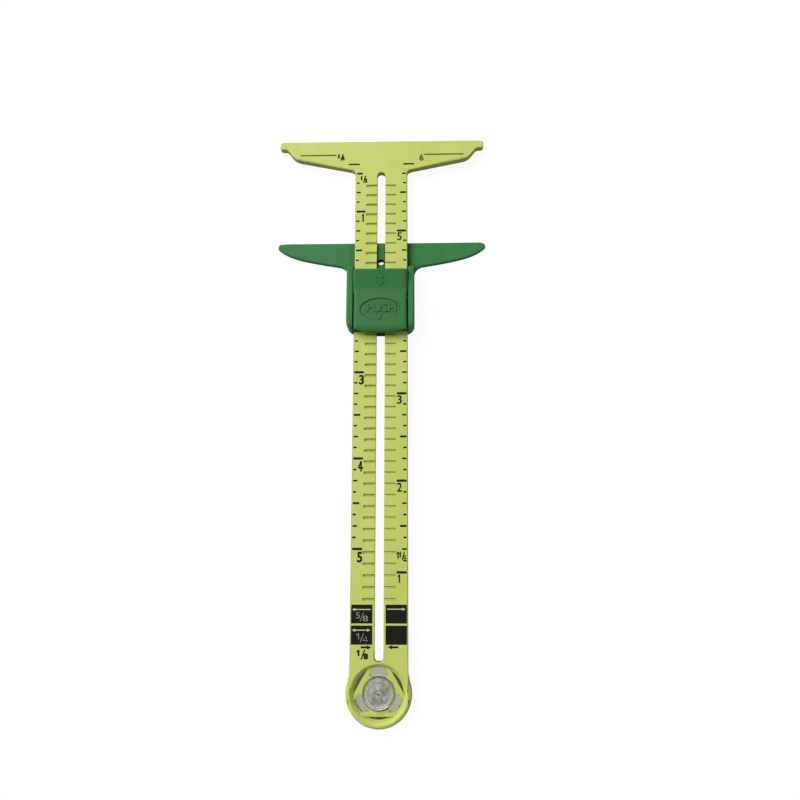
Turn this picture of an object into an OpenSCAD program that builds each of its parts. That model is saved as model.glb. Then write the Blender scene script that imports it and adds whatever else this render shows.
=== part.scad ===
// Sliding sewing gauge: a slotted T ruler, a T slider with a rocking push lever
// whose teeth sit in the ruler's notches, and a clear swivel button in the ring.
// The gauge lies on its back. +Y points to the ruler's head, +Z is the printed face.

/* [Scale] */
// Spacing of the ticks and of the ratchet notches, an eighth of an inch
pitch = 3.175; // [2.8:0.005:3.6]
// Reading of the slider's T edge on the left scale, in eighths
reading = 11; // [4:1:40]
// Distance from the scale's zero to where the compass scale reads zero, in eighths
compass_eighths = 50; // [45:1:60]

/* [Ruler] */
// Distance from the scale's zero down to the head's edge
head_inset = 1.75; // [1.2:0.05:2.4]
// Thickness of the ruler
ruler_t = 2.1; // [1.7:0.1:2.6]
// Width of the bar
bar_w = 16.1; // [14:0.1:18]
// Width of the T head and of the slider's T
head_w = 64; // [52:1:78]
// Depth of the head, from its edge to the root of the bar
head_d = 9.55; // [8.5:0.05:11]
// Depth of the small nib at each end of the head
nib_d = 2.45; // [2:0.05:3]
// Width of the long slot
slot_w = 2.5; // [2.1:0.1:3]
// Distance from the root of the bar to the slot's upper end
slot_head = 0.9; // [0.5:0.1:3]
// Land between the slot's lower end and the bevel of the ring's bore
slot_land = 0.25; // [0.15:0.05:3]

/* [Notches] */
// Plain length kept for print between the last notch and the slot's lower end
print_land = 16; // [8:1:30]
// Length of a notch, out from the slot
notch_l = 3.35; // [2.8:0.05:4]
// Width of a notch at the face
notch_w = 0.8; // [0.7:0.05:1]
// Depth of a notch
notch_d = 0.45; // [0.4:0.05:0.6]

/* [Ring] */
// Radius of the ring's bore
bore_r = 7.05; // [6:0.05:8.4]
// Wall of the ring
ring_wall = 2.05; // [1.7:0.05:2.5]
// Bevel round the bore at the face
bore_bevel = 0.8; // [0.5:0.1:1]
// Rounding of the ring's outer edge
ring_round = 1.2; // [0.8:0.1:1.5]
// How far the ring's foot stands in from its outside
foot_inset = 1; // [0.6:0.1:1.3]
// Thickness of the three spring bars across the ring
web_t = 1.1; // [0.9:0.1:1.3]
// Width of a spring bar
web_w = 1.1; // [0.9:0.1:1.4]
// Gap between the middle of a spring bar and the bore
web_gap = 1.15; // [0.9:0.05:1.4]

/* [Slider] */
// Length of the slider, from its T edge to its rounded lower end
slider_l = 29.8; // [27:0.1:35]
// Thickness of the slider's plate
plate_t = 1.25; // [1:0.05:1.5]
// Wall of a side rail
rail_w = 1.9; // [1.6:0.1:2.4]
// Height of the rails over the ruler's face
rail_rise = 2.8; // [2.5:0.1:3.4]
// Height of the guide rib over the slider's plate
rib_rise = 1.15; // [0.8:0.05:1.5]
// Wall of the guide rib beside the pencil hole
pencil_wall = 0.2; // [0.15:0.05:0.3]
// Distance from the T edge to the pencil hole
pencil_drop = 6.6; // [5.4:0.1:7.5]
// Depth of the wing where it meets the rail
wing_d = 7.6; // [6.4:0.05:9]

/* [Push lever] */
// Distance from the T edge to the lever's upper end
lever_drop = 10.6; // [9.6:0.1:12]
// Length of the thumb ramp
ramp_l = 5.9; // [5:0.1:7]
// Height of the thumb ramp over the push pad
ramp_rise = 1.15; // [0.8:0.05:1.5]
// Height of the push pad over the rails
pad_rise = 0.35; // [0.2:0.05:0.6]
// Distance from the T edge to the teeth
tooth_drop = 13.655; // [12.6:0.005:16]
// Distance from the T edge to the pivot
pivot_drop = 18.9; // [17.5:0.1:21]
// Depth of the pivot below the top of the rails
pivot_depth = 1.1; // [1:0.05:1.4]
// Radius of the lever's trunnions
trunnion_r = 0.8; // [0.6:0.05:0.9]
// Depth of the oval in the push pad
oval_d = 0.35; // [0.2:0.05:0.5]
// Half length of the oval
oval_a = 6.05; // [5:0.05:6.5]
// Half width of the oval
oval_b = 3.45; // [2.8:0.05:3.8]

/* [Return spring] */
// Thickness of the leaf
leaf_t = 0.2; // [0.15:0.05:0.3]
// Width of the leaf
leaf_w = 8; // [6:0.5:10]

/* [Swivel button] */
// Radius of the hub in the middle of the spring bars
hub_r = 4; // [3.4:0.05:4.4]
// How far the snap lip reaches over the spring bars
lip_over = 0.6; // [0.4:0.05:0.8]
// Radius of the pin hole
pin_r = 0.45; // [0.35:0.05:0.6]

/* [Fits] */
// Gap between the ruler's back and the slider's plate
slide_gap = 0.05; // [0.05:0.01:0.1]
// Gap on each side of the ruler between the rails
side_gap = 0.2; // [0.15:0.05:0.3]
// Gap round a turning fit
turn_gap = 0.06; // [0.04:0.01:0.1]
// Gap of the rib and key in the slot, on each side
key_gap = 0.15; // [0.1:0.05:0.25]
// Gap between the button's flange and the bore
flange_gap = 0.25; // [0.2:0.05:0.5]

/* [Hidden] */
$fn = 72;

// Heights, from the surface that the gauge lies on
back_z = plate_t + slide_gap;
face_z = back_z + ruler_t;
over = plate_t;

// Places along the ruler. Distances are measured from the scale's zero, downwards.
ring_r = bore_r + ring_wall;
ring_y = compass_eighths * pitch + pencil_drop;
ruler_l = ring_y + ring_r - head_inset;
zero_y = head_inset + ruler_l / 2;
edge_y = reading * pitch;
slot_start = head_inset + head_d + slot_head;
slot_end = ring_y - bore_r - bore_bevel - slot_land;
ladder_start = tooth_drop + pitch;
notch_count = 1 + floor((slot_end - print_land - ladder_start) / pitch);
notch_floor_share = 0.5;

// Shares that shape the head's lower edge, from the nib in to the bar
nib_in_share = 0.95;
step_upper_share = [0.894, 0.27];
step_lower_share = [0.9, 0.555];
step_end_share = [0.8, 0.655];
head_round = 0.9;
root_fillet = 1.5;

// The pad on the head's back, on which the head rests and the slider's T stops
pad_inset = 1.3;
pad_w_share = 0.8;
pad_tip_share = 0.42;
pad_low_share = 0.89;

// The ring's outside and the pads of the spring bars beside the hub
ring_round_share = 0.6;
ring_low_share = 0.6;
web_out = bore_r - web_gap;
bar_pad_low_share = 0.5;
bar_pad_top_share = 0.42;
bar_pad_in_share = 0.8;

// Shares that shape the slider's wing, from the tip in to the rail
wing_tip_share = 0.2;
wing_first_share = [0.904, 0.6];
wing_second_share = [0.75, 0.755];
wing_round = 0.9;
wing_slope = 13;

// The slider's rails, key and rounded lower end
rail_x = bar_w / 2 + side_gap;
rail_out = rail_x + rail_w;
rail_top_z = face_z + rail_rise;
rail_ramp = 2.6;
rail_start = lever_drop - rail_ramp - side_gap;
rail_edge = 0.7;
rail_nose = 3;
rail_fillet = 3;
plate_bow = 0.6;
corner_r = 3.1;
rib_inset = 0.45;
rib_top_z = plate_t + rib_rise;
pencil_r = slot_w / 2 - key_gap - pencil_wall;
key_inset = 0.6;
key_start = lever_drop + side_gap;
key_end = slider_l - key_inset;
key_top_z = face_z - side_gap;

// The lever, its heights taken from the ruler's face
lever_w = bar_w - side_gap / 2;
lever_inset = 0.5;
lever_end = slider_l - lever_inset;
pad_h = rail_rise + pad_rise;
ramp_h = pad_h + ramp_rise;
crease_drop = lever_drop + ramp_l;
crease_dip = 0.05;
grip_round = 0.5;
grip_slope = 80;
nose_l = 2.2;
nose_h = 2.05;
nose_bow = 0.7;
slab_gap = 1.45;
toe_gap = 0.4;
toe_land = 0.3;
toe_end = pivot_drop - trunnion_r - toe_land;
toe_slope = 2.4;
oval_drop = (crease_drop + lever_end) / 2;

// The pivot, its blind sockets in the rails and the teeth in their notches
pivot_h = rail_rise - pivot_depth;
socket_wall = 0.6;
socket_l = rail_w - socket_wall;
tooth_tip_gap = 0.07;
tooth_root_gap = 0.17;
tooth_floor_gap = 0.1;
tooth_end_gap = 0.2;

// The spring leaf, along the slider from its root to its foot
leaf_land = 0.9;
leaf_root = pivot_drop + trunnion_r + leaf_land;
leaf_tip = lever_end - nose_l - leaf_t;
leaf_curl = 0.7;
leaf_flat_share = 0.29;
leaf_lift = 0.35;
leaf_gap = 0.03;

// The button, its heights taken from the spring bars
flange_r = bore_r - flange_gap;
flange_low_z = 0.25;
flange_top_z = back_z - slide_gap;
flange_edge = 0.3;
lip_z = back_z + web_t + slide_gap;
dome_top_z = face_z - side_gap;
lip_share = 0.53;
dome_edge_share = 0.4;
dish_share = 0.6;
dish_rim = 0.9;
boss_share = 0.33;

// Points on a circle about c, from angle a to angle b
function arc(c, r, a, b, n = 10) =
    [for (i = [0:n]) c + r * [cos(a + (b - a) * i / n), sin(a + (b - a) * i / n)]];

// Points on a cubic curve with end points p and s and handles q and t
function curve(p, q, t, s, n = 12) =
    [for (i = [0:n]) let (u = i / n, v = 1 - u)
        v * v * v * p + 3 * v * v * u * q + 3 * v * u * u * t + u * u * u * s];

function mirrored(points) = [for (i = [len(points) - 1:-1:0]) [-points[i][0], points[i][1]]];

// Draws a flat outline, given by its right half, at a distance down the ruler
module plan(drop, low_z, high_z, points) {
    translate([0, zero_y - drop, low_z])
        linear_extrude(high_z - low_z)
            polygon(concat(points, mirrored(points)));
}

// Extrudes a side outline, of distances down the slider and heights, across the width
module across(width, points) {
    translate([-width / 2, zero_y - edge_y, 0])
        rotate([90, 0, 90])
            linear_extrude(width)
                polygon([for (p = points) [-p[0], p[1]]]);
}

// Right half of the ruler's outline down to the ring, from the head's edge
function ruler_half() = let (
        hw = head_w / 2,
        bw = bar_w / 2
    ) concat(
        arc([hw - head_round, -head_round], head_round, 90, 0, 6),
        arc([hw - head_round, head_round - nib_d], head_round, 0, -90, 6),
        curve([hw * nib_in_share, -nib_d],
            [hw * step_upper_share[0], -head_d * step_upper_share[1]],
            [hw * step_lower_share[0], -head_d * step_lower_share[1]],
            [hw * step_end_share[0], -head_d * step_end_share[1]]),
        curve([bw + root_fillet, -head_d],
            [bw + root_fillet / 4, -head_d - root_fillet / 4],
            [bw, -head_d - root_fillet / 2],
            [bw, -head_d - root_fillet], 8),
        [[bw, head_inset - ring_y]]
    );

module head_pad() {
    plan(head_inset, 0, back_z + ruler_t / 2, [
        [head_w / 2 * pad_w_share, -pad_inset],
        [head_w / 2 * pad_w_share, -head_d * pad_tip_share],
        [bar_w / 2, -head_d * pad_low_share]
    ]);
}

// A cutter with sloped flanks for one rung of the ladder, on both sides of the slot
module rung() {
    half_l = slot_w / 2 + notch_l;
    half_w = notch_w / 2;
    rotate([90, 0, 90])
        translate([0, 0, -half_l])
            linear_extrude(2 * half_l)
                polygon([
                    [-half_w, over],
                    [-half_w, 0],
                    [-half_w * notch_floor_share, -notch_d],
                    [half_w * notch_floor_share, -notch_d],
                    [half_w, 0],
                    [half_w, over]
                ]);
}

module long_slot() {
    height = ruler_t + 2 * over;
    upper = slot_start + slot_w / 2;
    lower = slot_end - slot_w / 2;
    translate([0, zero_y, back_z - over]) {
        for (end = [upper, lower])
            translate([0, -end, 0])
                cylinder(d = slot_w, h = height, $fn = 32);
        translate([-slot_w / 2, -lower, 0])
            cube([slot_w, lower - upper, height]);
    }
}

module ring_body() {
    round_r = min(ring_round, ruler_t * ring_round_share);
    low = (ruler_t - round_r) * ring_low_share;
    foot_r = ring_r - foot_inset;
    foot_edge = back_z / 4;
    translate([0, zero_y - ring_y, 0])
        rotate_extrude()
            polygon(concat(
                [[0, 0], [foot_r - foot_edge, 0], [foot_r, foot_edge], [foot_r, back_z]],
                [[ring_r - low, back_z], [ring_r, back_z + low]],
                arc([ring_r - round_r, face_z - round_r], round_r, 0, 90, 10),
                [[0, face_z]]
            ));
}

module ring_bore() {
    translate([0, zero_y - ring_y, 0])
        rotate_extrude()
            polygon([
                [0, -over],
                [bore_r, -over],
                [bore_r, face_z - bore_bevel],
                [bore_r + bore_bevel, face_z],
                [bore_r + bore_bevel, face_z + over],
                [0, face_z + over]
            ]);
}

// Three spring bars, thickened beside the hub, that carry the swivel button
module web() {
    pad_low = web_out * bar_pad_low_share;
    pad_top = web_out * bar_pad_top_share;
    pad_in = hub_r * bar_pad_in_share;
    translate([0, zero_y - ring_y, back_z])
        difference() {
            intersection() {
                cylinder(r = (bore_r + ring_r) / 2, h = web_t);
                union() {
                    for (turn = [0:120:240])
                        rotate(turn) {
                            translate([-ring_r, -web_out, 0])
                                cube([2 * ring_r, web_w, web_t]);
                            linear_extrude(web_t)
                                polygon([
                                    [-pad_low, web_w / 2 - web_out],
                                    [pad_low, web_w / 2 - web_out],
                                    [pad_top, -pad_in],
                                    [-pad_top, -pad_in]
                                ]);
                        }
                }
            }
            translate([0, 0, -over])
                cylinder(r = hub_r + turn_gap, h = web_t + 2 * over);
        }
}

module ruler() {
    color([0.78, 0.82, 0.40]) {
        difference() {
            union() {
                plan(head_inset, back_z, face_z, ruler_half());
                head_pad();
                ring_body();
            }
            ring_bore();
            long_slot();
            for (k = [0:notch_count - 1])
                translate([0, zero_y - ladder_start - k * pitch, face_z])
                    rung();
        }
        web();
    }
}

// Right half of the slider's plate, from its T edge
function plate_half() = let (
        hw = head_w / 2,
        root_a = 90 + wing_slope,
        root_c = [rail_out + rail_fillet, -wing_d - rail_fillet * sin(root_a)],
        low_r = (rail_out * rail_out + plate_bow * plate_bow) / (2 * plate_bow),
        low_c = [0, low_r - slider_l],
        corner_x = rail_out - corner_r,
        corner_a = asin(corner_x / (low_r - corner_r)),
        corner_c = [corner_x, low_c[1] - (low_r - corner_r) * cos(corner_a)]
    ) concat(
        arc([hw - wing_round, -wing_round], wing_round, 90, 0, 6),
        curve([hw, -wing_d * wing_tip_share],
            [hw * wing_first_share[0], -wing_d * wing_first_share[1]],
            [hw * wing_second_share[0], -wing_d * wing_second_share[1]],
            root_c + rail_fillet * [cos(root_a), sin(root_a)]),
        arc(root_c, rail_fillet, root_a, 180, 8),
        arc(corner_c, corner_r, 0, corner_a - 90, 8),
        arc(low_c, low_r, corner_a - 90, -90, 6)
    );

// The rails: the plate's outline, cut by their side and end outlines
module rails() {
    difference() {
        intersection() {
            plan(edge_y, 0, rail_top_z, plate_half());
            across(head_w, concat(
                [[rail_start - rail_ramp, 0], [slider_l, 0]],
                arc([slider_l - rail_nose, rail_top_z - rail_nose], rail_nose, 0, 90, 8),
                curve([rail_start + rail_ramp, rail_top_z],
                    [rail_start + rail_ramp / 3, rail_top_z],
                    [rail_start + rail_ramp / 3, plate_t],
                    [rail_start - rail_ramp / 2, plate_t], 10)
            ));
            union() {
                for (side = [0, 1])
                    mirror([side, 0, 0])
                        rail_section();
            }
        }
        pivot_pin(rail_x + socket_l, trunnion_r + turn_gap);
    }
}

module rail_section() {
    translate([0, zero_y - edge_y + over, 0])
        rotate([90, 0, 0])
            linear_extrude(slider_l + 2 * over)
                polygon(concat(
                    [[rail_x, 0], [rail_out, 0]],
                    arc([rail_out - rail_edge, rail_top_z - rail_edge], rail_edge, 0, 90, 6),
                    [[rail_x, rail_top_z]]
                ));
}

// A round pin on the pivot line, out to a distance on each side of the middle
module pivot_pin(reach, radius) {
    translate([0, zero_y - edge_y - pivot_drop, face_z + pivot_h])
        rotate([0, 90, 0])
            cylinder(r = radius, h = 2 * reach, center = true, $fn = 32);
}

// The rib and the key that guide the slider in the slot: the rib holds the pencil hole and
// steps up to the key under the lever
module guide() {
    across(slot_w - 2 * key_gap, [
        [rib_inset, plate_t / 2],
        [rib_inset, rib_top_z],
        [key_start, rib_top_z],
        [key_start, key_top_z],
        [key_end, key_top_z],
        [key_end, plate_t / 2]
    ]);
}

module slider_frame() {
    color([0.24, 0.49, 0.31]) {
        difference() {
            union() {
                plan(edge_y, 0, plate_t, plate_half());
                guide();
            }
            translate([0, zero_y - edge_y - pencil_drop, -over])
                cylinder(r = pencil_r, h = rib_top_z + 2 * over, $fn = 48);
        }
        rails();
    }
}

// Side outline of the lever: thumb ramp, crease, push pad and rounded nose
function lever_side() = let (
        z = face_z,
        nose_c = [lever_end - nose_l, z + pad_h - nose_h]
    ) concat(
        [[lever_drop, z + toe_gap]],
        arc([lever_drop + grip_round, z + ramp_h - grip_round], grip_round, 180, grip_slope, 6),
        [[crease_drop - grip_round, z + pad_h]],
        [[crease_drop + grip_round, z + pad_h - crease_dip]],
        [for (a = [90:-15:0]) nose_c + [nose_l * cos(a), nose_h * sin(a)]],
        [[lever_end - nose_l / 2, z + slab_gap]],
        [[toe_end + toe_slope, z + slab_gap]],
        [[toe_end, z + toe_gap]]
    );

module oval() {
    translate([0, zero_y - edge_y - oval_drop, face_z + pad_h - oval_d])
        linear_extrude(oval_d + over)
            polygon([for (a = [0:7.5:352.5]) [oval_a * cos(a), oval_b * sin(a)]]);
}

// One tooth on each side of the slot, seated in the notches below it
module teeth() {
    tip = notch_w / 2 * notch_floor_share - tooth_tip_gap;
    root = notch_w / 2 - tooth_root_gap;
    for (side = [0, 1])
        mirror([side, 0, 0])
            translate([slot_w / 2 + tooth_end_gap, zero_y - edge_y - tooth_drop, face_z])
                rotate([90, 0, 90])
                    linear_extrude(notch_l - 2 * tooth_end_gap)
                        polygon([
                            [-tip, tooth_floor_gap - notch_d],
                            [tip, tooth_floor_gap - notch_d],
                            [root, tooth_floor_gap],
                            [root, 2 * toe_gap],
                            [-root, 2 * toe_gap],
                            [-root, tooth_floor_gap]
                        ]);
}

module push_lever() {
    half = lever_w / 2;
    low_r = (half * half + nose_bow * nose_bow) / (2 * nose_bow);
    bow_a = asin(half / low_r);
    color([0.26, 0.51, 0.33]) {
        difference() {
            intersection() {
                across(lever_w, lever_side());
                plan(edge_y, face_z, face_z + ramp_h + over, concat(
                    [[half, 0], [half, nose_bow - lever_end]],
                    arc([0, low_r - lever_end], low_r, bow_a - 90, -90, 10)
                ));
            }
            oval();
        }
        pivot_pin(rail_x + socket_l - side_gap, trunnion_r);
        teeth();
    }
}

// Leaf spring under the push pad, from its flat root down to its curled foot
module return_spring() {
    top = face_z + slab_gap;
    low = face_z + leaf_gap;
    foot = leaf_tip - leaf_curl;
    flat = (foot - leaf_root) * leaf_flat_share;
    upper = concat(
        [[leaf_root, top]],
        curve([leaf_root + flat, top],
            [leaf_root + 2 * flat, top],
            [foot - flat, low + leaf_t],
            [foot, low + leaf_t], 10),
        [[leaf_tip, low + leaf_t + leaf_lift]]
    );
    color([0.75, 0.76, 0.78])
        across(leaf_w, concat(upper,
            [for (i = [len(upper) - 1:-1:0]) upper[i] - [0, leaf_t]]));
}

module swivel_button() {
    dome_rise = dome_top_z - lip_z;
    lip_t = dome_rise * lip_share;
    dome_edge = dome_rise * dome_edge_share;
    dish_d = dome_rise * dish_share;
    dish_r = hub_r - dish_rim;
    boss_r = hub_r * boss_share;
    neck_r = hub_r - dome_edge / 4;
    color([0.80, 0.82, 0.80, 0.6])
        translate([0, zero_y - ring_y, 0])
            rotate_extrude()
                polygon([
                    [pin_r, flange_low_z],
                    [flange_r - flange_edge, flange_low_z],
                    [flange_r, flange_low_z + flange_edge],
                    [flange_r, flange_top_z],
                    [hub_r, flange_top_z],
                    [hub_r, lip_z],
                    [hub_r + lip_over, lip_z],
                    [hub_r + lip_over - lip_t / 2, lip_z + lip_t],
                    [neck_r, lip_z + lip_t],
                    [neck_r, dome_top_z - dome_edge],
                    [hub_r - dome_edge, dome_top_z],
                    [dish_r + dish_d / 2, dome_top_z],
                    [dish_r, dome_top_z - dish_d],
                    [boss_r + dish_d / 2, dome_top_z - dish_d],
                    [boss_r, dome_top_z - dish_d / 4],
                    [pin_r, dome_top_z - dish_d / 4]
                ]);
}

ruler();
slider_frame();
push_lever();
return_spring();
swivel_button();
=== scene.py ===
"""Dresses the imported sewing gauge: moulded plastics, printed scales and clear button."""

import math

import bmesh
import bpy
from mathutils import Matrix, Vector


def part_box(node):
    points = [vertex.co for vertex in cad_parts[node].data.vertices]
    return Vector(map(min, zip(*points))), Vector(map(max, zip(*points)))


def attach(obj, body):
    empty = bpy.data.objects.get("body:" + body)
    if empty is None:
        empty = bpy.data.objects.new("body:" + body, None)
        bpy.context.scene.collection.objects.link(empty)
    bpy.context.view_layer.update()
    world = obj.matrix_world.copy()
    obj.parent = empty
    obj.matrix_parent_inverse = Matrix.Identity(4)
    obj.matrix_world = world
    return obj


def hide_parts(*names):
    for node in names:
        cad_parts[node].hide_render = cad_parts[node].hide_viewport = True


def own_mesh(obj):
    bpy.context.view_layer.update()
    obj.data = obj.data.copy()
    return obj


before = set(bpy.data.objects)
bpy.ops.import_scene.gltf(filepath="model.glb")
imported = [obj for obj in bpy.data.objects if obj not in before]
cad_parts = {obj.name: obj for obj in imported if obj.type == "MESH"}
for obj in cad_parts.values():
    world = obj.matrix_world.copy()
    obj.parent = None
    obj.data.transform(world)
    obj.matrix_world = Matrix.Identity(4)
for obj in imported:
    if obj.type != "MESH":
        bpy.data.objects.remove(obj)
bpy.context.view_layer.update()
mm = 0.001

# Camera. The gauge lies on its back and is seen from above, from over the lower half of its
# bar, with the lens tipped a little towards the head. The view is fitted to the printed scale.
camera_place = Vector((9.79, -31.12, 191.9)) * mm
camera_tip = math.radians(10.42)
camera_roll = math.radians(1.217)
lens = bpy.data.cameras.new("camera")
lens.sensor_width = 36
lens.lens = 29.555
lens.clip_start = 10 * mm
camera = bpy.data.objects.new("camera", lens)
camera.location = camera_place
camera.rotation_euler = (camera_tip, camera_roll, 0)
bpy.context.scene.collection.objects.link(camera)
bpy.context.scene.camera = camera
bpy.context.scene.view_settings.view_transform = "Standard"

# Floor. A plain pale table that shows white, as behind the gauge in the photograph, and that
# still takes the gauge's soft shadow.
floor_size = 3
floor_drop = 0.01 * mm
floor_white = 0.93
floor_shade = 0.1
floor_reach = 14 * mm


def joined(tree, operation, first, second):
    """Two values of the node tree joined by a sum of the given kind."""
    sum_node = tree.nodes.new("ShaderNodeMath")
    sum_node.operation = operation
    tree.links.new(first, sum_node.inputs[0])
    tree.links.new(second, sum_node.inputs[1])
    return sum_node.outputs[0]


def seen_directly(tree, reach=0.0):
    """One where a ray comes from the camera, a reflection or a clear piece, and zero elsewhere.
    Within the given reach of the gauge, reflections see its shade."""
    rays = tree.nodes.new("ShaderNodeLightPath")
    mirrored = rays.outputs["Is Glossy Ray"]
    if reach:
        beside = tree.nodes.new("ShaderNodeAmbientOcclusion")
        beside.samples = 8
        beside.inputs["Distance"].default_value = reach
        mirrored = joined(tree, "MULTIPLY", mirrored,
                          joined(tree, "MULTIPLY", beside.outputs["AO"], beside.outputs["AO"]))
    through = joined(tree, "MAXIMUM", rays.outputs["Is Transmission Ray"], mirrored)
    return joined(tree, "MAXIMUM", rays.outputs["Is Camera Ray"], through)


def scaled(tree, value, factor, offset=0.0):
    """A value of the node tree times a factor, plus an offset."""
    sum_node = tree.nodes.new("ShaderNodeMath")
    sum_node.operation = "MULTIPLY_ADD"
    tree.links.new(value, sum_node.inputs[0])
    sum_node.inputs[1].default_value = factor
    sum_node.inputs[2].default_value = offset
    return sum_node.outputs[0]


table_white = bpy.data.materials.new("table_white")
table_white.use_nodes = True
tree = table_white.node_tree
tree.nodes.clear()
shade = tree.nodes.new("ShaderNodeBsdfDiffuse")
shade.inputs["Color"].default_value = (floor_shade, floor_shade, floor_shade, 1)
glow = tree.nodes.new("ShaderNodeEmission")
tree.links.new(scaled(tree, seen_directly(tree, floor_reach), floor_white),
               glow.inputs["Strength"])
both = tree.nodes.new("ShaderNodeAddShader")
tree.links.new(shade.outputs[0], both.inputs[0])
tree.links.new(glow.outputs[0], both.inputs[1])
output = tree.nodes.new("ShaderNodeOutputMaterial")
tree.links.new(both.outputs[0], output.inputs["Surface"])
shape = bmesh.new()
bmesh.ops.create_grid(shape, x_segments=1, y_segments=1, size=floor_size / 2)
bmesh.ops.translate(shape, vec=(0, 0, -floor_drop), verts=shape.verts)
mesh = bpy.data.meshes.new("table")
shape.to_mesh(mesh)
shape.free()
mesh.materials.append(table_white)
table = bpy.data.objects.new("table", mesh)
bpy.context.scene.collection.objects.link(table)

# Light. A wide soft lamp beyond the head and to the left, as the photograph's shadows fall
# towards the ring and to the right, in a plain pale room that fills the shadows.
room_light = 0.27
lamp_place = Vector((-0.72, 0.64, 0.92))
lamp_size = 1.1
lamp_power = 17.4
world = bpy.data.worlds.new("room")
world.use_nodes = True
tree = world.node_tree
tree.links.new(scaled(tree, seen_directly(tree), 1 - room_light, room_light),
               tree.nodes["Background"].inputs["Strength"])
tree.nodes["Background"].inputs["Color"].default_value = (1, 1, 1, 1)
bpy.context.scene.world = world
lamp = bpy.data.lights.new("lamp", "AREA")
lamp.shape = "DISK"
lamp.size = lamp_size
lamp.energy = lamp_power
lamp_holder = bpy.data.objects.new("lamp", lamp)
lamp_holder.location = lamp_place
lamp_holder.rotation_euler = (-lamp_place).to_track_quat("-Z", "Y").to_euler()
bpy.context.scene.collection.objects.link(lamp_holder)

# Ruler. One moulding of yellow-green plastic: T head, slotted bar with its ladder of notches,
# and the ring with three spring bars. Its edges are softened as they leave the mould. The
# gauge's box is centred along Y, so the head's edge and the ring's centre give the ring's radius.
ruler_low, ruler_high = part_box("ruler")
face_z = ruler_high.z
bar_half = 8.05 * mm
ring_centre = Vector((0, -77.25, 0)) * mm
ring_half = ruler_high.y + ring_centre.y
ring_top = ring_centre.y + ring_half
head_root = 77 * mm
nib_low = 82.6 * mm
ring_cut = ring_top + 2 * mm
merge_gap = 0.06 * mm
flat_angle = math.radians(0.5)
ruler_edge = 0.3 * mm
head_edge = 0.45 * mm
notch_edge = 0.12 * mm
sharp_angle = math.radians(28)
crease_angle = math.radians(42)
face_near = 0.1 * mm
bar_clear = 0.2 * mm
above_back = 1.35 * mm
outline_band = 0.5 * mm
ring_band = 0.4 * mm
shoulder_reach = 1.2 * mm
ruler_colour = (207, 216, 116)
ruler_flow_colour = (200, 211, 104)
# Colour and reach of the painted shade in the ruler's own grooves and corners.
ruler_painted_shade_colour = (128, 136, 50)
ruler_painted_shade_reach = 1.3 * mm
ruler_roughness = 0.4
ruler_gloss = 0.28
flow_scale = 90
flow_stretch = (2.5, 0.6, 1)
satin_scale = 700
satin_spread = 0.16
grain_scale = 3500
grain_strength = 0.35
grain_height = 0.012 * mm
ramp_low = 0.32
ramp_high = 0.68


def merged_copy(node):
    """A copy of a CAD node's mesh, its loose triangles merged and its flat faces made whole."""
    shape = bmesh.new()
    shape.from_mesh(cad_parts[node].data)
    bmesh.ops.remove_doubles(shape, verts=shape.verts, dist=merge_gap)
    bmesh.ops.dissolve_limit(shape, angle_limit=flat_angle, verts=shape.verts,
                             edges=shape.edges, use_dissolve_boundaries=False, delimit=set())
    return shape


def soften(shape, width, steps, chosen=lambda middle: True):
    """Rounds the sharp edges whose middle point is chosen."""
    edges = [edge for edge in shape.edges
             if edge.is_manifold and edge.calc_face_angle() > sharp_angle
             and chosen((edge.verts[0].co + edge.verts[1].co) / 2)]
    bmesh.ops.bevel(shape, geom=edges, offset=width, offset_type="OFFSET", segments=steps,
                    profile=0.5, affect="EDGES", clamp_overlap=False, material=-1)


def kept_inside(shape, low, high):
    """Moves any point that a rounding has thrown past the CAD node's box back to the box."""
    for vert in shape.verts:
        vert.co = [min(max(part, least), most) for part, least, most in zip(vert.co, low, high)]


def finished(name, shape, material):
    """The object of a finished bmesh, smooth where it is round and flat where it is flat."""
    mesh = bpy.data.meshes.new(name)
    shape.to_mesh(mesh)
    shape.free()
    mesh.shade_smooth()
    mesh.set_sharp_from_angle(angle=crease_angle)
    mesh.materials.append(material)
    piece = bpy.data.objects.new(name, mesh)
    bpy.context.scene.collection.objects.link(piece)
    even = piece.modifiers.new("even_normals", "WEIGHTED_NORMAL")
    even.keep_sharp = True
    return piece


def paint(red, green, blue):
    """A colour written as in a picture, from 0 to 255, as Blender's linear colour."""
    return [(part / 255 / 12.92 if part < 10.3 else ((part / 255 + 0.055) / 1.055) ** 2.4)
            for part in (red, green, blue)] + [1]


def cloud(tree, scale, detail=2, stretch=(1, 1, 1)):
    """A noise in the object's own place, stretched along an axis where that is asked."""
    place = tree.nodes.new("ShaderNodeTexCoord")
    turn = tree.nodes.new("ShaderNodeMapping")
    turn.inputs["Scale"].default_value = stretch
    noise = tree.nodes.new("ShaderNodeTexNoise")
    noise.inputs["Scale"].default_value = scale
    noise.inputs["Detail"].default_value = detail
    tree.links.new(place.outputs["Object"], turn.inputs["Vector"])
    tree.links.new(turn.outputs["Vector"], noise.inputs["Vector"])
    return noise.outputs["Fac"]


def between(tree, value, low_colour, high_colour):
    """A colour between two, as a noise goes from low to high."""
    ramp = tree.nodes.new("ShaderNodeValToRGB")
    ramp.color_ramp.elements[0].position = ramp_low
    ramp.color_ramp.elements[1].position = ramp_high
    ramp.color_ramp.elements[0].color = low_colour
    ramp.color_ramp.elements[1].color = high_colour
    tree.links.new(value, ramp.inputs["Fac"])
    return ramp.outputs["Color"]


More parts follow.
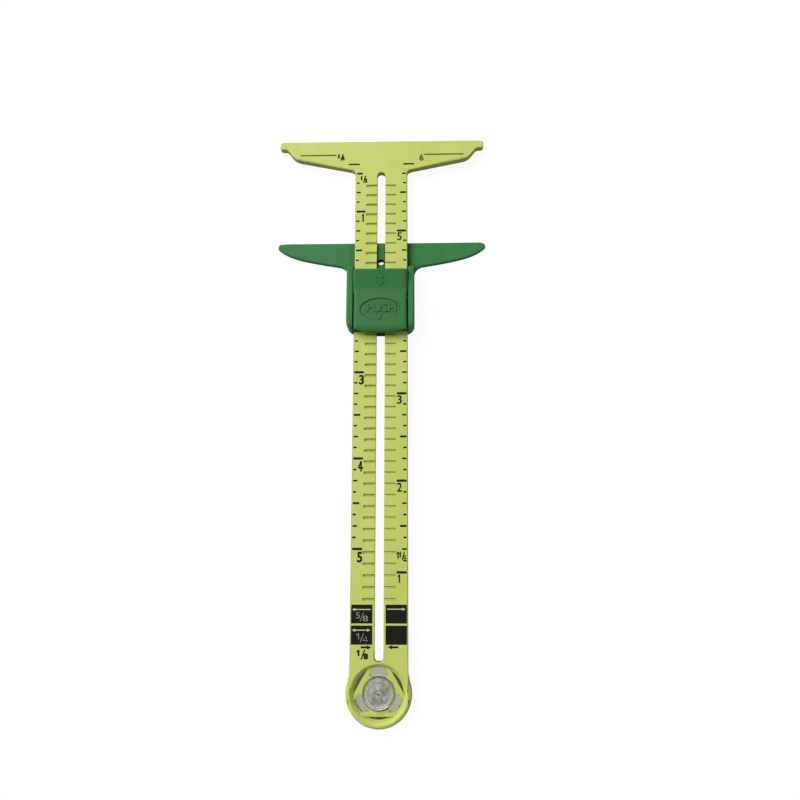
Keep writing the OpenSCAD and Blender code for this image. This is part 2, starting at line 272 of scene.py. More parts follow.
def deepened(tree, colour, painted_shade_colour, reach, alone):
    """A colour darkened by painted shade in corners and grooves: of the piece alone, or beside
    others.
    """
    corner = tree.nodes.new("ShaderNodeAmbientOcclusion")
    corner.samples = 12
    corner.only_local = alone
    corner.inputs["Distance"].default_value = reach
    blend = tree.nodes.new("ShaderNodeMix")
    blend.data_type = "RGBA"
    tree.links.new(corner.outputs["AO"], blend.inputs[0])
    blend.inputs[6].default_value = painted_shade_colour
    tree.links.new(colour, blend.inputs[7])
    return blend.outputs[2]


def moulded_plastic(name, colour, flow_colour, painted_shade_colour, reach, alone, roughness, gloss):
    """A moulded plastic: its colour drifts with the flow and is darkened by painted shade in
    corners, and its satin skin has a fine grain.
    """
    material = bpy.data.materials.new(name)
    material.use_nodes = True
    tree = material.node_tree
    shader = tree.nodes["Principled BSDF"]
    flow = cloud(tree, flow_scale, 4, flow_stretch)
    tree.links.new(deepened(tree, between(tree, flow, paint(*colour), paint(*flow_colour)),
                            paint(*painted_shade_colour), reach, alone), shader.inputs["Base Color"])
    tree.links.new(scaled(tree, cloud(tree, satin_scale, 3), satin_spread,
                          roughness - satin_spread / 2), shader.inputs["Roughness"])
    skin = tree.nodes.new("ShaderNodeBump")
    skin.inputs["Strength"].default_value = grain_strength
    skin.inputs["Distance"].default_value = grain_height
    tree.links.new(cloud(tree, grain_scale, 3), skin.inputs["Height"])
    tree.links.new(skin.outputs["Normal"], shader.inputs["Normal"])
    shader.inputs["Specular IOR Level"].default_value = gloss
    return material


def under_head(middle):
    """Whether a point lies on the head's lower edge, at the face."""
    return middle.z > face_z - face_near and abs(middle.x) > bar_half + bar_clear and (
        head_root < middle.y < nib_low)


def on_outline(middle):
    """Whether a point lies on the outline at the face: the head, the bar or the ring."""
    radius = math.hypot(middle.x, middle.y - ring_centre.y)
    on_bar = abs(middle.x) > bar_half - outline_band and middle.y > ring_top
    return middle.z > above_back and (on_bar or (
        radius > ring_half - ring_band and middle.y < ring_top + shoulder_reach))


def inside_bar(middle):
    """Whether a point lies above the ring, on the slot, the notches or the back."""
    return middle.y > ring_top


def inside_ring(middle):
    """Whether a point lies within the ring, on its bore or its spring bars."""
    return math.hypot(middle.x, middle.y - ring_centre.y) < ring_half - outline_band


shape = merged_copy("ruler")
bmesh.ops.bisect_plane(shape, geom=shape.verts[:] + shape.edges[:] + shape.faces[:],
                       plane_co=(0, ring_cut, 0), plane_no=(0, 1, 0))
soften(shape, head_edge, 4, under_head)
soften(shape, ruler_edge, 3, on_outline)
soften(shape, notch_edge, 2, inside_bar)
soften(shape, notch_edge, 2, inside_ring)
kept_inside(shape, ruler_low, ruler_high)
# The yellow-green is darkened in the ruler's own grooves and corners: painted shade.
yellow_green = moulded_plastic("yellow_green_plastic", ruler_colour, ruler_flow_colour,
                               ruler_painted_shade_colour, ruler_painted_shade_reach, True, ruler_roughness,
                               ruler_gloss)
ruler = finished("ruler_moulding", shape, yellow_green)
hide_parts("ruler")
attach(ruler, "ruler")

# Bore ledge. A thin rim inside the ring, moulded with it at the level of the spring bars,
# that keeps the button's flange from dropping out.
ledge_inner = 6.74 * mm
ledge_outer = 7.3 * mm
ledge_low = 1.3 * mm
ledge_high = 2.15 * mm
ledge_steps = 96
ledge_weld = 0.001 * mm
shape = bmesh.new()
rim = [shape.verts.new((radius, 0, z)) for radius, z in (
    (ledge_inner, ledge_low), (ledge_outer, ledge_low),
    (ledge_outer, ledge_high), (ledge_inner, ledge_high))]
edges = [shape.edges.new((rim[i - 1], rim[i])) for i in range(4)]
bmesh.ops.spin(shape, geom=edges + rim, axis=(0, 0, 1), cent=(0, 0, 0),
               angle=math.tau, steps=ledge_steps, use_merge=True)
bmesh.ops.remove_doubles(shape, verts=shape.verts, dist=ledge_weld)
bmesh.ops.recalc_face_normals(shape, faces=shape.faces)
bmesh.ops.translate(shape, verts=shape.verts, vec=ring_centre)
ledge = finished("bore_ledge", shape, yellow_green)
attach(ledge, "ruler")

# Printed scales. Two inch scales in black ink, an eighth of an inch from tick to tick: the
# seam scale reads down the left edge, and the circle scale up the right edge.
ink_rise = 0.012 * mm
ink_sink = 0.008 * mm
ink_weld = 0.0005 * mm
ink_end_share = 0.42
ink_colour = (8, 8, 6)
ink_thin_colour = (20, 21, 14)
ink_patch_scale = 1500
ink_grain_scale = 2500
ink_roughness = 0.5
ink_spread = 0.2
ink_gloss = 0.12
pitch = 3.175 * mm
zero_y = ruler_high.y + 1.75 * mm
tick_inset = 0.35 * mm
tick_lengths = {"eighth": 1.0 * mm, "quarter": 1.35 * mm, "half": 1.95 * mm, "inch": 2.9 * mm}
tick_widths = {"eighth": 0.5 * mm, "quarter": 0.5 * mm, "half": 0.6 * mm, "inch": 0.68 * mm}
root_tick = (6.75 * mm, 10.3 * mm)
head_lines = {-1: (14.1 * mm, 25.5 * mm), 1: (13.4 * mm, 25.7 * mm)}
head_line_width = 0.45 * mm
head_line_at = 2
first_tick = 3
circle_total = 50
left_last = 40
right_last = 42


def rank(eighths):
    """Which of the four kinds of tick stands at a reading."""
    if eighths % 8 == 0:
        return "inch"
    if eighths % 4 == 0:
        return "half"
    return "quarter" if eighths % 2 == 0 else "eighth"


def risen(shape, corners, low, high):
    """A flat shape with the given corners, raised from one height to another."""
    rim = [shape.verts.new((x, y, low)) for x, y in corners]
    grown = bmesh.ops.extrude_face_region(shape, geom=[shape.faces.new(rim)])
    top = [item for item in grown["geom"] if isinstance(item, bmesh.types.BMVert)]
    bmesh.ops.translate(shape, vec=(0, 0, high - low), verts=top)


def ink_bar(shape, left, right, y, width):
    """A printed bar with rounded ends across the face."""
    size = Matrix.Diagonal((right - left, width, ink_rise + ink_sink, 1))
    place = Matrix.Translation(((left + right) / 2, y, face_z + (ink_rise - ink_sink) / 2))
    block = bmesh.ops.create_cube(shape, size=1, matrix=place @ size)
    upright = {edge for vert in block["verts"] for edge in vert.link_edges
               if abs(edge.verts[0].co.z - edge.verts[1].co.z) > ink_rise}
    bmesh.ops.bevel(shape, geom=list(upright), offset=width * ink_end_share, offset_type="OFFSET",
                    segments=3, profile=0.5, affect="EDGES", material=-1)


def lettering(shape, text, left, low, right, high, weight=0.0, z=face_z,
              sink=ink_sink, rise=ink_rise):
    """Letters of the built-in type, made a mesh and fitted to a box on a level face."""
    type_set = bpy.data.curves.new("type", "FONT")
    type_set.body = text
    type_set.extrude = 1
    type_set.offset = weight
    type_set.resolution_u = 3
    holder = bpy.data.objects.new("type", type_set)
    bpy.context.scene.collection.objects.link(holder)
    graph = bpy.context.evaluated_depsgraph_get()
    mesh = bpy.data.meshes.new_from_object(holder.evaluated_get(graph), depsgraph=graph)
    bpy.data.objects.remove(holder)
    xs = [vert.co.x for vert in mesh.vertices]
    ys = [vert.co.y for vert in mesh.vertices]
    size = Matrix.Diagonal(((right - left) / (max(xs) - min(xs)),
                            (high - low) / (max(ys) - min(ys)), (sink + rise) / 2, 1))
    centre = Matrix.Translation((-(max(xs) + min(xs)) / 2, -(max(ys) + min(ys)) / 2, 0))
    place = Matrix.Translation(((left + right) / 2, (low + high) / 2, z + (rise - sink) / 2))
    mesh.transform(place @ size @ centre)
    shape.from_mesh(mesh)
    bpy.data.meshes.remove(mesh)


def printing_ink(name, colour, thin_colour):
    """Screen-printed ink: matt, with spots where the layer is thin."""
    material = bpy.data.materials.new(name)
    material.use_nodes = True
    tree = material.node_tree
    shader = tree.nodes["Principled BSDF"]
    tree.links.new(between(tree, cloud(tree, ink_patch_scale, 3), paint(*colour),
                           paint(*thin_colour)), shader.inputs["Base Color"])
    tree.links.new(scaled(tree, cloud(tree, ink_grain_scale, 2), ink_spread, ink_roughness),
                   shader.inputs["Roughness"])
    shader.inputs["Specular IOR Level"].default_value = ink_gloss
    return material


black_ink = printing_ink("black_ink", ink_colour, ink_thin_colour)
worn = bmesh.new()
shape = bmesh.new()
for side, last, reading in ((-1, left_last, lambda n: n),
                            (1, right_last, lambda n: circle_total - n)):
    left, right = sorted(side * end for end in head_lines[side])
    ink_bar(worn, left, right, zero_y - head_line_at * pitch, head_line_width)
    for n in range(first_tick, last + 1):
        kind = rank(reading(n))
        start = bar_half - tick_inset - tick_lengths[kind]
        end = bar_half - tick_inset
        if n == first_tick:
            start, end = root_tick
        left, right = sorted((side * start, side * end))
        ink_bar(shape, left, right, zero_y - n * pitch, tick_widths[kind])

# Printed numbers. Each inch has its number just under its tick, a little larger on the left
# scale, and the quarter, the half and the end of the circle scale are marked too.
left_number = {"x": -5.52 * mm, "width": 1.52 * mm, "height": 2.98 * mm, "gap": 0.74 * mm,
               "weight": 0.035, "stroke": 0.45 * mm}
right_number = {"x": 5.62 * mm, "width": 1.42 * mm, "height": 2.6 * mm, "gap": 0.55 * mm,
                "weight": 0.02, "stroke": 0.4 * mm}
one_share = 0.88
one_sides = (-0.52 * mm, 0.2 * mm)
flag_share = 0.24
flag_top = 0.8
flag_root = 1.3
post_share = 0.74
step_share = 0.27
lap_share = 0.9
upper_low = 0.34
upper_one_end = 0.25
upper_end = 0.34
lower_high = 0.64
lower_four_start = 0.56
lower_start = 0.58
four_stroke_share = 0.5
slash_foot = 0.33
slash_top = 0.63
slash_share = 0.8
quarter_box = (-13.65 * mm, -8.2 * mm, -11.45 * mm, -6.0 * mm)
half_box = (-6.45 * mm, -15.75 * mm, -4.35 * mm, -13.5 * mm)
six_box = (11.8 * mm, -8.55 * mm, 13.2 * mm, -6.2 * mm)
quarter_stroke = 0.6 * mm
half_stroke = 0.52 * mm
half_weight = 0.1
six_weight = 0.045
end_one_box = (4.75 * mm, -129.6 * mm, 5.45 * mm, -127.75 * mm)
end_quarter_box = (5.55 * mm, -130.1 * mm, 7.6 * mm, -127.7 * mm)
worn_colour = (74, 80, 30)
worn_thin_colour = (104, 111, 50)


def on_scale(box):
    """The sides of a box whose heights are given from the zero of the scales."""
    left, low, right, high = box
    return left, zero_y + low, right, zero_y + high


def figure_one(shape, left, low, right, high, stroke):
    """The figure 1: an upright stroke with a flag at its upper left."""
    flag = (high - low) * flag_share
    risen(shape, [(right - stroke, low), (right, low), (right, high),
                  (right - stroke * flag_top, high), (left, high - flag),
                  (left, high - flag - stroke),
                  (right - stroke, high - stroke * flag_root)],
          face_z - ink_sink, face_z + ink_rise)


def figure_four(shape, left, low, right, high, stroke):
    """The figure 4: an upright stroke, a level one and a leaning one."""
    post = left + post_share * (right - left)
    step = low + step_share * (high - low)
    lap = step + stroke * lap_share
    for corners in ([(post - stroke, low), (post, low), (post, high), (post - stroke, high)],
                    [(left, step), (right, step), (right, step + stroke), (left, step + stroke)],
                    [(left, lap), (left + stroke, lap), (post, high), (post - stroke, high)]):
        risen(shape, corners, face_z - ink_sink, face_z + ink_rise)


def number(shape, inch, n, style):
    """The number of an inch, under the tick that is n eighths from zero."""
    high = zero_y - n * pitch - style["gap"]
    low = high - style["height"]
    left = style["x"] - style["width"] / 2
    right = style["x"] + style["width"] / 2
    if inch == 1:
        figure_one(shape, style["x"] + one_sides[0], high - style["height"] * one_share,
                   style["x"] + one_sides[1], high, style["stroke"])
    elif inch == 4:
        figure_four(shape, left, low, right, high, style["stroke"])
    else:
        lettering(shape, str(inch), left, low, right, high, style["weight"])


def fraction(shape, upper, lower, left, low, right, high, stroke, weight=0.0):
    """A fraction: the upper number, a leaning stroke and the lower number, in a box."""
    width = right - left
    height = high - low
    middle = low + upper_low * height
    if upper == "1":
        figure_one(shape, left, middle, left + upper_one_end * width, high, stroke)
    else:
        lettering(shape, upper, left, middle, left + upper_end * width, high, weight)
    foot = left + slash_foot * width
    top = left + slash_top * width
    slash = stroke * slash_share
    risen(shape, [(foot, low), (foot + slash, low), (top + slash, high), (top, high)],
          face_z - ink_sink, face_z + ink_rise)
    if lower == "4":
        figure_four(shape, left + lower_four_start * width, low, right,
                    low + lower_high * height, stroke * four_stroke_share)
    else:
        lettering(shape, lower, left + lower_start * width, low, right,
                  low + lower_high * height, weight)


for inch in range(1, 6):
    number(shape, inch, 8 * inch, left_number)
    number(shape, inch, circle_total - 8 * inch, right_number)
fraction(shape, "1", "4", *on_scale(quarter_box), quarter_stroke)
lettering(worn, "6", *on_scale(six_box), six_weight)
fraction(shape, "1", "2", *on_scale(half_box), half_stroke, half_weight)
figure_one(shape, *on_scale(end_one_box), right_number["stroke"])
fraction(shape, "1", "4", *on_scale(end_quarter_box), right_number["stroke"])
bmesh.ops.remove_doubles(worn, verts=worn.verts, dist=ink_weld)
bmesh.ops.recalc_face_normals(worn, faces=worn.faces)
worn_print = finished("worn_print", worn,
                      printing_ink("worn_ink", worn_colour, worn_thin_colour))
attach(worn_print, "ruler")

# Printed symbols. Four black boxes below the scales tell the user what the ring, bar and slot
# measure: their arrows and numbers are left bare, and a last pair of arrows is in black.
box_lefts = (-7.72 * mm, 1.82 * mm)
box_width = 5.9 * mm
box_tops = (-142.0 * mm, -147.55 * mm)
box_height = 5.0 * mm
bare_lift = 0.004 * mm
bare_line = 0.27 * mm
bare_head = 0.9 * mm
bare_stroke = 0.2 * mm
bare_weight = -0.008
bare_colour = (205, 209, 160)
veiled_colour = (160, 161, 146)
neck_share = 0.46
black_line = 0.52 * mm
black_head = 1.2 * mm
black_arrows = ((-4.95 * mm, -2.05 * mm, -153.25 * mm), (5.3 * mm, 2.4 * mm, -153.2 * mm))
light_arrows = ((-2.3 * mm, -7.45 * mm, -143.3 * mm), (-4.9 * mm, -7.45 * mm, -148.75 * mm),
                (-4.9 * mm, -2.35 * mm, -148.75 * mm), (2.25 * mm, 7.3 * mm, -143.2 * mm))
eighth_box = (-6.05 * mm, -156.4 * mm, -2.9 * mm, -153.85 * mm)
eighth_stroke = 0.5 * mm
eighth_weight = 0.07
five_eighths_box = (-6.4 * mm, -146.45 * mm, -3.05 * mm, -144.05 * mm)
slot_quarter_box = (-6.3 * mm, -151.95 * mm, -3.05 * mm, -149.55 * mm)


def arrow(shape, tail, tip, y, line, head):
    """A printed arrow from tail to tip: a thin bar and a pointed head."""
    way = 1 if tip > tail else -1
    neck = tip - way * head
    risen(shape, [(tail, y - line / 2), (neck, y - line / 2), (neck, y - head * neck_share),
                  (tip, y), (neck, y + head * neck_share), (neck, y + line / 2),
                  (tail, y + line / 2)],
          face_z - ink_sink, face_z + ink_rise)


for left in box_lefts:
    for top in box_tops:
        size = Matrix.Diagonal((box_width, box_height, ink_rise + ink_sink, 1))
        place = Matrix.Translation((left + box_width / 2, zero_y + top - box_height / 2,
                                    face_z + (ink_rise - ink_sink) / 2))
        bmesh.ops.create_cube(shape, size=1, matrix=place @ size)
for tail, tip, y in black_arrows:
    arrow(shape, tail, tip, zero_y + y, black_line, black_head)
fraction(shape, "1", "8", *on_scale(eighth_box), eighth_stroke, eighth_weight)
bmesh.ops.remove_doubles(shape, verts=shape.verts, dist=ink_weld)
bmesh.ops.recalc_face_normals(shape, faces=shape.faces)
scales_print = finished("scales_print", shape, black_ink)
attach(scales_print, "ruler")

shape = bmesh.new()
for tail, tip, y in light_arrows:
    arrow(shape, tail, tip, zero_y + y, bare_line, bare_head)
bmesh.ops.recalc_face_normals(shape, faces=shape.faces)
bmesh.ops.translate(shape, vec=(0, 0, bare_lift), verts=shape.verts)
bare_arrows = finished("bare_arrows", shape, printing_ink("bare_print", bare_colour, bare_colour))
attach(bare_arrows, "ruler")

shape = bmesh.new()
fraction(shape, "5", "8", *on_scale(five_eighths_box), bare_stroke, bare_weight)
fraction(shape, "1", "4", *on_scale(slot_quarter_box), bare_stroke, bare_weight)
bmesh.ops.remove_doubles(shape, verts=shape.verts, dist=ink_weld)
bmesh.ops.recalc_face_normals(shape, faces=shape.faces)
bmesh.ops.translate(shape, vec=(0, 0, bare_lift), verts=shape.verts)
bare_numbers = finished("bare_numbers", shape,
                        printing_ink("veiled_print", veiled_colour, veiled_colour))
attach(bare_numbers, "ruler")

# Slider frame. The green T that slides along the bar: a flat plate under the ruler, with
# wings, a rib in the slot with the pencil hole, and two rails that hold the lever's pivot.
slider_low, slider_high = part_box("slider_frame")
plate_z = 1.25 * mm
rail_inside = 8.25 * mm
rail_half = 10.15 * mm
nose_y = slider_low.y + 1.3 * mm
end_start = 26.5 * mm
end_share = 0.87
wing_edge = 0.5 * mm
rail_rim = 0.1 * mm
plate_near = 0.02 * mm
rail_clear = 0.3 * mm
thin_sides = (6.6 * mm, 8.4 * mm)
channel_near = 0.05 * mm
channel_top = plate_z + 0.15 * mm
slider_colour = (50, 120, 64)
slider_flow_colour = (60, 125, 72)
# Colour and reach of the painted shade in corners and beside other pieces, on the frame and the
# lever.
slider_painted_shade_colour = (8, 38, 16)
slider_painted_shade_reach = 2.5 * mm
slider_roughness = 0.55
slider_gloss = 0.2


def on_wing(middle):
    """Whether a point lies on the upper outline of the plate, outside the rails."""
    return plate_z / 2 < middle.z < plate_z + plate_near and (
        abs(middle.x) > rail_half + rail_clear)


def on_rim(middle):
    """Whether a point lies on any other edge, clear of the thin ends of the channel."""
    out = abs(middle.x)
    thin_end = middle.y < nose_y and middle.z > plate_z and thin_sides[0] < out < thin_sides[1]
    in_channel = abs(out - rail_inside) < channel_near and middle.z < channel_top
    return not thin_end and not in_channel


shape = merged_copy("slider_frame")
soften(shape, wing_edge, 3, on_wing)
soften(shape, rail_rim, 2, on_rim)
kept_inside(shape, slider_low, slider_high)
for vert in shape.verts:
    if vert.co.y < end_start:
        vert.co.y = end_start - (end_start - vert.co.y) * end_share
# The green is darkened in its corners and beside the ruler and lever: painted shade.
green = moulded_plastic("green_plastic", slider_colour, slider_flow_colour, slider_painted_shade_colour,
                        slider_painted_shade_reach, False, slider_roughness, slider_gloss)
slider = finished("slider_moulding", shape, green)
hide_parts("slider_frame")
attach(slider, "slider")

# Push lever. The rocker between the rails, with its thumb ramp, its push pad and the teeth
# that drop into the ruler's notches. Its long edges are broad and rounded.
lever_low, lever_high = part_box("push_lever")
lever_half = 8.0 * mm
ramp_rise = 1.15 * mm
pad_z = lever_high.z - ramp_rise
oval_depth = 0.35 * mm
oval_z = pad_z - oval_depth
lever_edge = 0.95 * mm
nose_start = 26.075 * mm
nose_length = 2.2 * mm
nose_height = 2.05 * mm
nose_fullness = 3.5
nose_bow = 0.45 * mm
shoulder_start = 35.25 * mm
shoulder_rise = 0.19 * mm
shoulder_step = 0.3 * mm
bow_reach = 2 * mm
lever_near = 0.05 * mm
pad_near = 0.2 * mm
lever_rim = 0.1 * mm
lever_colour = (45, 112, 56)
lever_flow_colour = (53, 117, 62)
lever_roughness = 0.48
lever_gloss = 0.25


def on_thumb_edge(middle):
    """Whether a point lies on a long upper edge of the lever."""
    return middle.z > pad_z - pad_near and abs(middle.x) > lever_half - lever_near


def nose_z(along, fullness):
    """The height of the nose's upper side, from its start to its end, for a given fullness."""
    return pad_z - nose_height * (1 - (1 - along ** fullness) ** (1 / fullness))


shape = merged_copy("push_lever")
for vert in shape.verts:
    along = min(1, (nose_start - vert.co.y) / nose_length)
    if along > 0 and abs(vert.co.z - nose_z(along, 2)) < lever_near:
        vert.co.z = nose_z(along, nose_fullness)
    if vert.co.y < lever_low.y + bow_reach:
        vert.co.y -= nose_bow * (1 - (vert.co.x / lever_half) ** 2)
soften(shape, lever_edge, 5, on_thumb_edge)
for cut in (shoulder_start, shoulder_start + shoulder_step):
    bmesh.ops.bisect_plane(shape, geom=shape.verts[:] + shape.edges[:] + shape.faces[:],
                           plane_co=(0, cut, 0), plane_no=(0, 1, 0))
for vert in shape.verts:
    if vert.co.y > shoulder_start + shoulder_step / 3 and (
            abs(vert.co.x) > lever_half - lever_edge):
        vert.co.x += math.copysign(shoulder_rise, vert.co.x)
soften(shape, lever_rim, 2)
# The lever's green is darkened in its corners and beside the rails and ruler: painted shade, as
# on the frame.
lever_green = moulded_plastic("lever_plastic", lever_colour, lever_flow_colour,
                              slider_painted_shade_colour, slider_painted_shade_reach, False,
                              lever_roughness, lever_gloss)
lever = finished("push_lever_moulding", shape, lever_green)
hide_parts("push_lever")
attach(lever, "lever")

# Lever lettering. The word PUSH and a small pointer stand up from the floor of the oval, and
# a two-headed arrow on the thumb ramp shows which way the slider goes.
letter_rise = 0.24 * mm
letter_sink = 0.05 * mm
word_box = (-4.25 * mm, 29.5 * mm, 4.65 * mm, 32.3 * mm)
word_weight = 0.03
pointer = ((-1.05 * mm, 28.95 * mm), (-0.25 * mm, 27.15 * mm), (0.55 * mm, 28.95 * mm))
ramp_arrow_rise = 0.6 * letter_rise
ramp_foot = Vector((0, 37.175, 6.55)) * mm
ramp_slope = math.radians(13.35)
ramp_arrow_low = 0.3 * mm
ramp_arrow_high = 4.25 * mm
ramp_arrow_half = 1.25 * mm
ramp_arrow_line = 0.9 * mm
ramp_arrow_head = 1.45 * mm
shape = bmesh.new()
lettering(shape, "PUSH", *word_box, word_weight, oval_z, letter_sink, letter_rise)
risen(shape, pointer, oval_z - letter_sink, oval_z + letter_rise)
signs = bmesh.new()
low_neck = ramp_arrow_low + ramp_arrow_head
high_neck = ramp_arrow_high - ramp_arrow_head
half_line = ramp_arrow_line / 2
right_side = [(0, ramp_arrow_low), (ramp_arrow_half, low_neck), (half_line, low_neck),
              (half_line, high_neck), (ramp_arrow_half, high_neck), (0, ramp_arrow_high)]
risen(signs, right_side + [(-x, y) for x, y in reversed(right_side[1:-1])],
      -letter_sink, ramp_arrow_rise)
bmesh.ops.transform(signs, verts=signs.verts,
                    matrix=Matrix.Translation(ramp_foot) @ Matrix.Rotation(ramp_slope, 4, "X"))
ramp_sign = bpy.data.meshes.new("ramp_sign")
signs.to_mesh(ramp_sign)
signs.free()
shape.from_mesh(ramp_sign)
bpy.data.meshes.remove(ramp_sign)
bmesh.ops.remove_doubles(shape, verts=shape.verts, dist=ink_weld)
bmesh.ops.recalc_face_normals(shape, faces=shape.faces)
push_word = finished("push_word", shape, lever_green)
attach(push_word, "lever")

# Return spring. A leaf of thin steel under the push pad, bent by rolling, which holds the
# teeth in their notches.
steel_colour = (176, 178, 182)
steel_bright_colour = (206, 207, 210)
streak_scale = 900
streak_stretch = (1, 14, 1)
scratch_scale = 1200
scratch_stretch = (1, 10, 1)
steel_roughness = 0.22
steel_spread = 0.2
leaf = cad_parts["return_spring"]
spring_steel = bpy.data.materials.new("spring_steel")
spring_steel.use_nodes = True
tree = spring_steel.node_tree
shader = tree.nodes["Principled BSDF"]
shader.inputs["Metallic"].default_value = 1
tree.links.new(between(tree, cloud(tree, streak_scale, 4, streak_stretch),
                       paint(*steel_colour), paint(*steel_bright_colour)),
               shader.inputs["Base Color"])
tree.links.new(scaled(tree, cloud(tree, scratch_scale, 2, scratch_stretch), steel_spread,
                      steel_roughness), shader.inputs["Roughness"])
leaf.material_slots[0].material = spring_steel
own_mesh(leaf)

# Swivel button. A clear moulded button, snapped into the spring bars of the ring, that turns
# about a pin through its middle when the gauge draws a circle.
button_rim = 0.07 * mm
flange_radius = 6.8 * mm
hub_share = 0.645
lip_share = 0.68
rim_share = 0.86
gap_share = 0.28
lip_colour = (212, 215, 192)
# Grey tints of the clear plastic by radius: painted shade of the table seen through the button,
# darkest over the flange.
hub_shaded_colour = (190, 191, 183)
flange_shaded_colour = (166, 169, 147)
# Painted shade of the ring's gaps, laid on the button's rim in three sectors.
gap_shadow_colour = (114, 118, 74)
mottle_colour = (120, 120, 114)
clear_colour = (255, 255, 255)
shadow_tint = (225, 226, 220)
colour_step = 0.01
mottle_scale = 800
ripple_scale = 1100
ripple_height = 0.22 * mm
button_ior = 1.49
button_roughness = 0.06
button_spread = 0.25
gap_count = 3
gap_turn = 0.25
shape = merged_copy("swivel_button")
soften(shape, button_rim, 2)
clear_plastic = bpy.data.materials.new("clear_plastic")
clear_plastic.use_nodes = True
tree = clear_plastic.node_tree
shader = tree.nodes["Principled BSDF"]
shader.inputs["Transmission Weight"].default_value = 1
shader.inputs["IOR"].default_value = button_ior
place = tree.nodes.new("ShaderNodeTexCoord")
out = tree.nodes.new("ShaderNodeVectorMath")
out.operation = "DISTANCE"
tree.links.new(place.outputs["Object"], out.inputs[0])
out.inputs[1].default_value = ring_centre
# Tint by distance from the ring's centre: lightest over the lip, grey over the hub and darker
# over the flange, as painted shade.
shaded_tint = tree.nodes.new("ShaderNodeValToRGB")
shaded_tint.color_ramp.elements[0].position = hub_share
shaded_tint.color_ramp.elements[0].color = paint(*hub_shaded_colour)
shaded_tint.color_ramp.elements[1].position = lip_share + colour_step
shaded_tint.color_ramp.elements[1].color = paint(*flange_shaded_colour)
for share in (hub_share + colour_step, lip_share):
    shaded_tint.color_ramp.elements.new(share).color = paint(*lip_colour)
radius = scaled(tree, out.outputs["Value"], 1 / flange_radius)
tree.links.new(radius, shaded_tint.inputs["Fac"])
turned = tree.nodes.new("ShaderNodeVectorMath")
turned.operation = "SUBTRACT"
tree.links.new(place.outputs["Object"], turned.inputs[0])
turned.inputs[1].default_value = ring_centre
around = tree.nodes.new("ShaderNodeTexGradient")
around.gradient_type = "RADIAL"
tree.links.new(turned.outputs["Vector"], around.inputs["Vector"])
third = tree.nodes.new("ShaderNodeMath")
third.operation = "PINGPONG"
third.inputs[1].default_value = 0.5
tree.links.new(scaled(tree, around.outputs["Fac"], gap_count, gap_turn), third.inputs[0])


def one_where(value, operation, limit):
    """One where a value of the button's tree is above or below a limit, and zero elsewhere."""
    test = tree.nodes.new("ShaderNodeMath")
    test.operation = operation
    tree.links.new(value, test.inputs[0])
    test.inputs[1].default_value = limit
    return test.outputs[0]


def multiplied(colour, amount, other):
    """A colour multiplied by another one, as far as an amount from zero to one says."""
    blend = tree.nodes.new("ShaderNodeMix")
    blend.data_type = "RGBA"
    blend.blend_type = "MULTIPLY"
    tree.links.new(amount, blend.inputs[0])
    tree.links.new(colour, blend.inputs[6])
    tree.links.new(other, blend.inputs[7])
    return blend.outputs[2]


mottled = multiplied(shaded_tint.outputs["Color"], one_where(radius, "LESS_THAN", hub_share),
                     between(tree, cloud(tree, mottle_scale, 4), paint(*mottle_colour),
                             paint(*clear_colour)))
# Three dark sectors at the rim, where the ring's gaps lie at rest: painted shade of the gaps seen
# through the button, which turns with it.
painted_gap_shade = joined(tree, "MULTIPLY", one_where(radius, "GREATER_THAN", rim_share),
                   one_where(third.outputs[0], "LESS_THAN", gap_share))
gap_shadow_paint = tree.nodes.new("ShaderNodeRGB")
gap_shadow_paint.outputs[0].default_value = paint(*gap_shadow_colour)
tree.links.new(multiplied(mottled, painted_gap_shade, gap_shadow_paint.outputs[0]), shader.inputs["Base Color"])
tree.links.new(scaled(tree, cloud(tree, ripple_scale, 3), button_spread, button_roughness),
               shader.inputs["Roughness"])
ripple = tree.nodes.new("ShaderNodeBump")
ripple.inputs["Strength"].default_value = 1
ripple.inputs["Distance"].default_value = ripple_height
tree.links.new(cloud(tree, ripple_scale, 3), ripple.inputs["Height"])
tree.links.new(ripple.outputs["Normal"], shader.inputs["Normal"])
for_lamps = tree.nodes.new("ShaderNodeBsdfTransparent")
for_lamps.inputs["Color"].default_value = paint(*shadow_tint)
rays = tree.nodes.new("ShaderNodeLightPath")
either = tree.nodes.new("ShaderNodeMixShader")
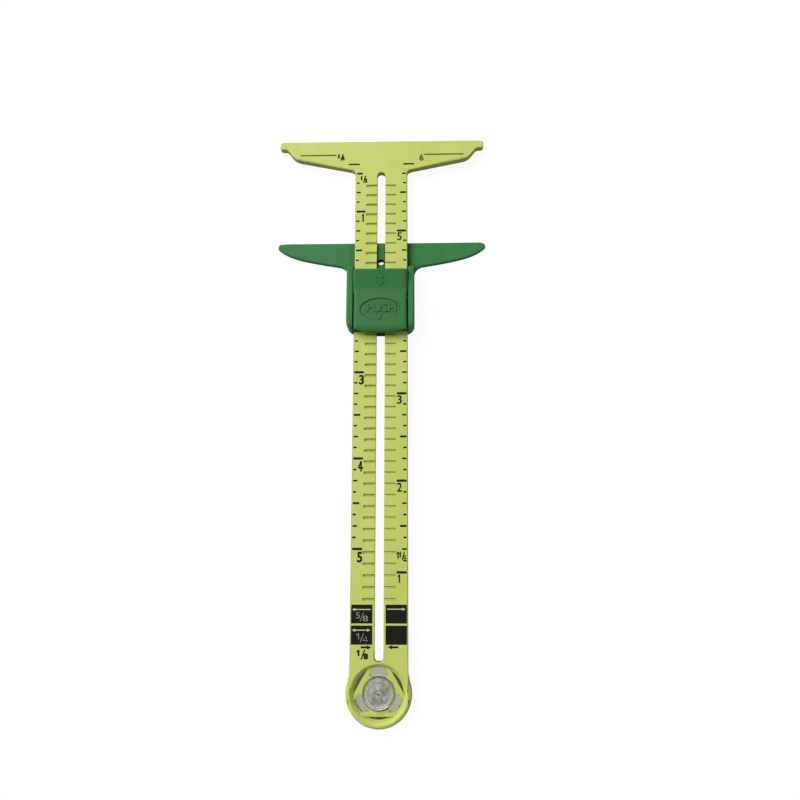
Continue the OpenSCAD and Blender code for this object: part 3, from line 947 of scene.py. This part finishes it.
tree.links.new(rays.outputs["Is Shadow Ray"], either.inputs["Fac"])
tree.links.new(shader.outputs["BSDF"], either.inputs[1])
tree.links.new(for_lamps.outputs["BSDF"], either.inputs[2])
tree.links.new(either.outputs["Shader"], tree.nodes["Material Output"].inputs["Surface"])
button = finished("clear_button", shape, clear_plastic)
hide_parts("swivel_button")
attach(button, "button")

# Button arcs. Two raised arcs on the lower side of the hub, moulded with the button, whose pale
# colour is a painted highlight where bright edges show in the clear hub.
arc_radii = (3.42 * mm, 3.95 * mm)
arc_half = 0.17 * mm
arc_z = 3.16 * mm
arc_start = math.radians(-152)
arc_sweep = math.radians(104)
arc_sides = 10
arc_steps = 30
arc_highlight_colour = (176, 178, 170)
arc_bright_highlight_colour = (236, 237, 232)
arc_patch_scale = 1500
arc_roughness = 0.3
shape = bmesh.new()
for radius in arc_radii:
    start = (Matrix.Translation(ring_centre + Vector((0, 0, arc_z))) @
             Matrix.Rotation(arc_start, 4, "Z") @ Matrix.Translation((radius, 0, 0)) @
             Matrix.Rotation(math.pi / 2, 4, "X"))
    wire = bmesh.ops.create_circle(shape, cap_ends=True, segments=arc_sides, radius=arc_half,
                                   matrix=start)
    rim = wire["verts"]
    edges = list({edge for vert in rim for edge in vert.link_edges})
    faces = list({face for vert in rim for face in vert.link_faces})
    bmesh.ops.spin(shape, geom=rim + edges + faces, axis=(0, 0, 1), cent=ring_centre,
                   angle=arc_sweep, steps=arc_steps)
bmesh.ops.recalc_face_normals(shape, faces=shape.faces)
# The arcs' pale, patchy colour is a painted highlight.
pale_highlight_plastic = bpy.data.materials.new("pale_highlight_plastic")
pale_highlight_plastic.use_nodes = True
tree = pale_highlight_plastic.node_tree
shader = tree.nodes["Principled BSDF"]
shader.inputs["Roughness"].default_value = arc_roughness
tree.links.new(between(tree, cloud(tree, arc_patch_scale, 2), paint(*arc_highlight_colour),
                       paint(*arc_bright_highlight_colour)), shader.inputs["Base Color"])
arcs = finished("button_arcs", shape, pale_highlight_plastic)
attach(arcs, "button")
